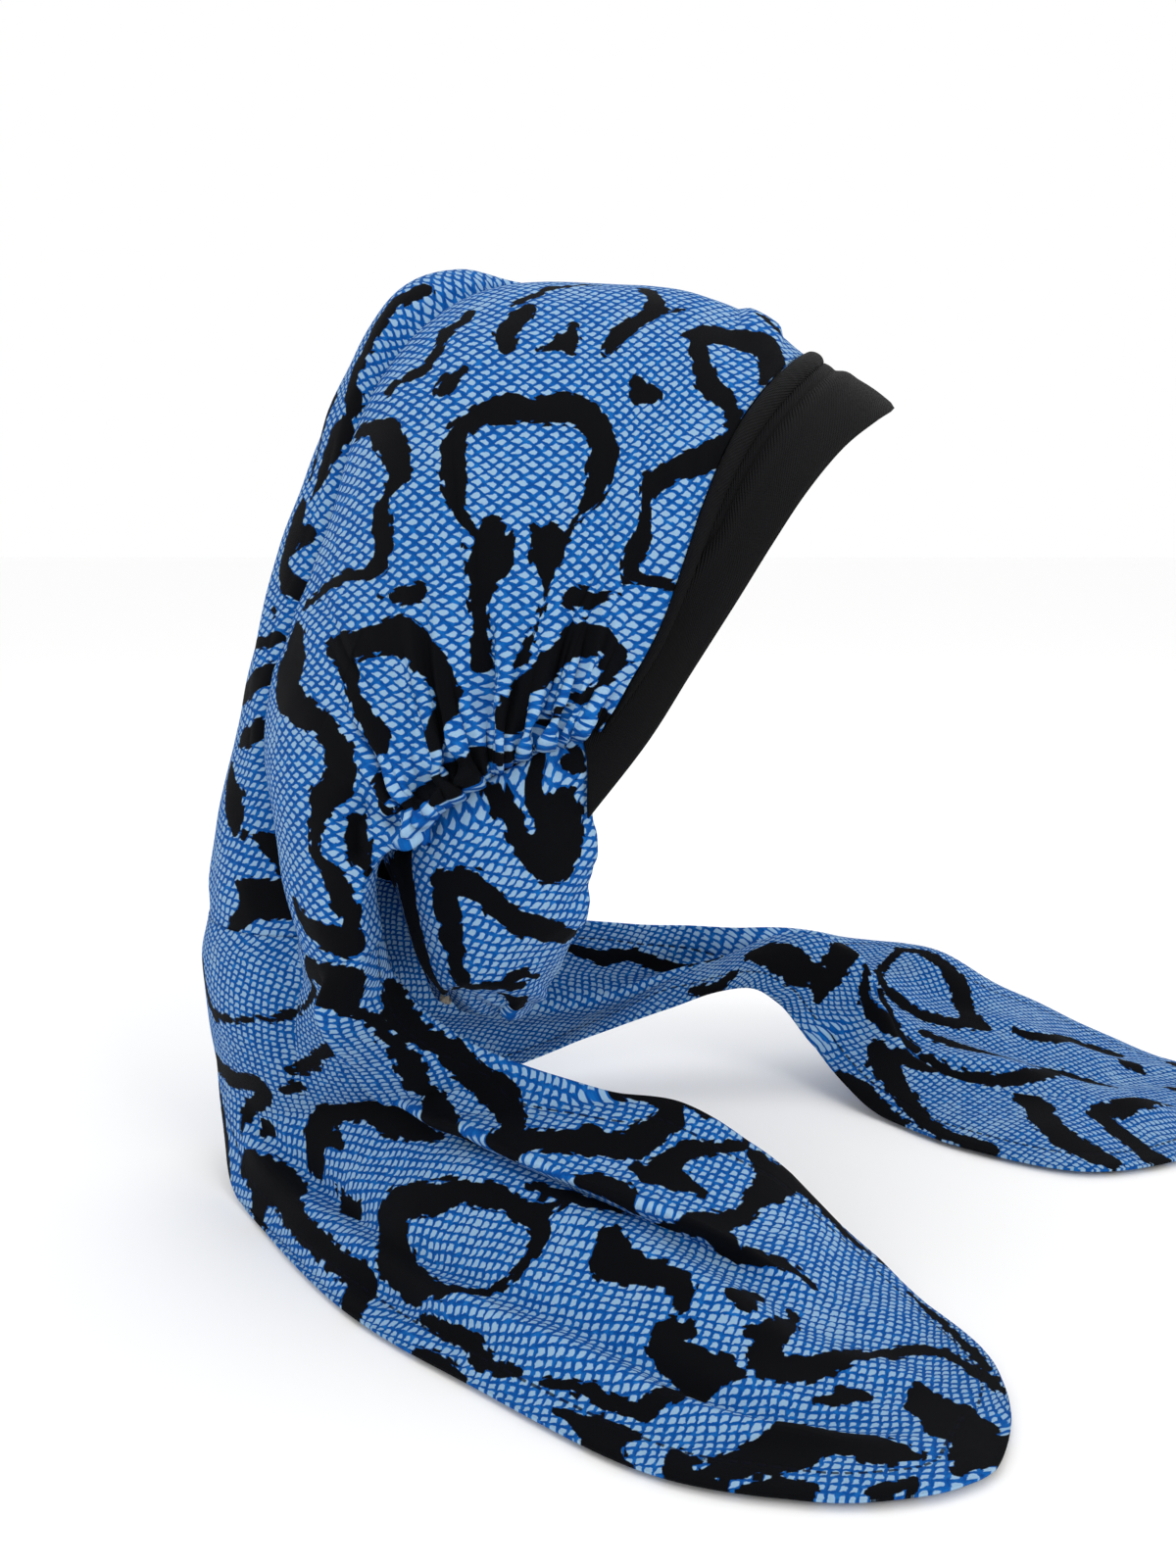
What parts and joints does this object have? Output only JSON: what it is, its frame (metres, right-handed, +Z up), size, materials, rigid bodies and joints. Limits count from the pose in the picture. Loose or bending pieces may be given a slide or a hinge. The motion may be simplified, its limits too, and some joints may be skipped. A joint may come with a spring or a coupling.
{
  "type": "pre-tied turban head wrap",
  "caption": "Pre-tied turban: gathered printed cap on a knit front band, teardrop back panel, drape, nape pouch and loose rounded tails.",
  "frame": {"origin": "top of the wearer's head, where the crown of the cap sits on it", "axes": "+Z up, +X the way the wearer faces, +Y the wearer's left"},
  "size_m": [0.3964, 0.3138, 0.3037],
  "materials": {
    "printed_cloth": "matt woven cotton, blue and black scale print",
    "band_knit": "matt fine knit, black",
    "elastic": "ribbed narrow elastic, cream"
  },
  "bodies": {
    "root": {"crown": "printed_cloth", "back_panel": "printed_cloth", "right_tail": "printed_cloth", "left_tail": "printed_cloth", "nape_pouch": "printed_cloth", "nape_elastic": "elastic", "front_band": "band_knit", "band_roll": "band_knit"}
  },
  "joints": []
}
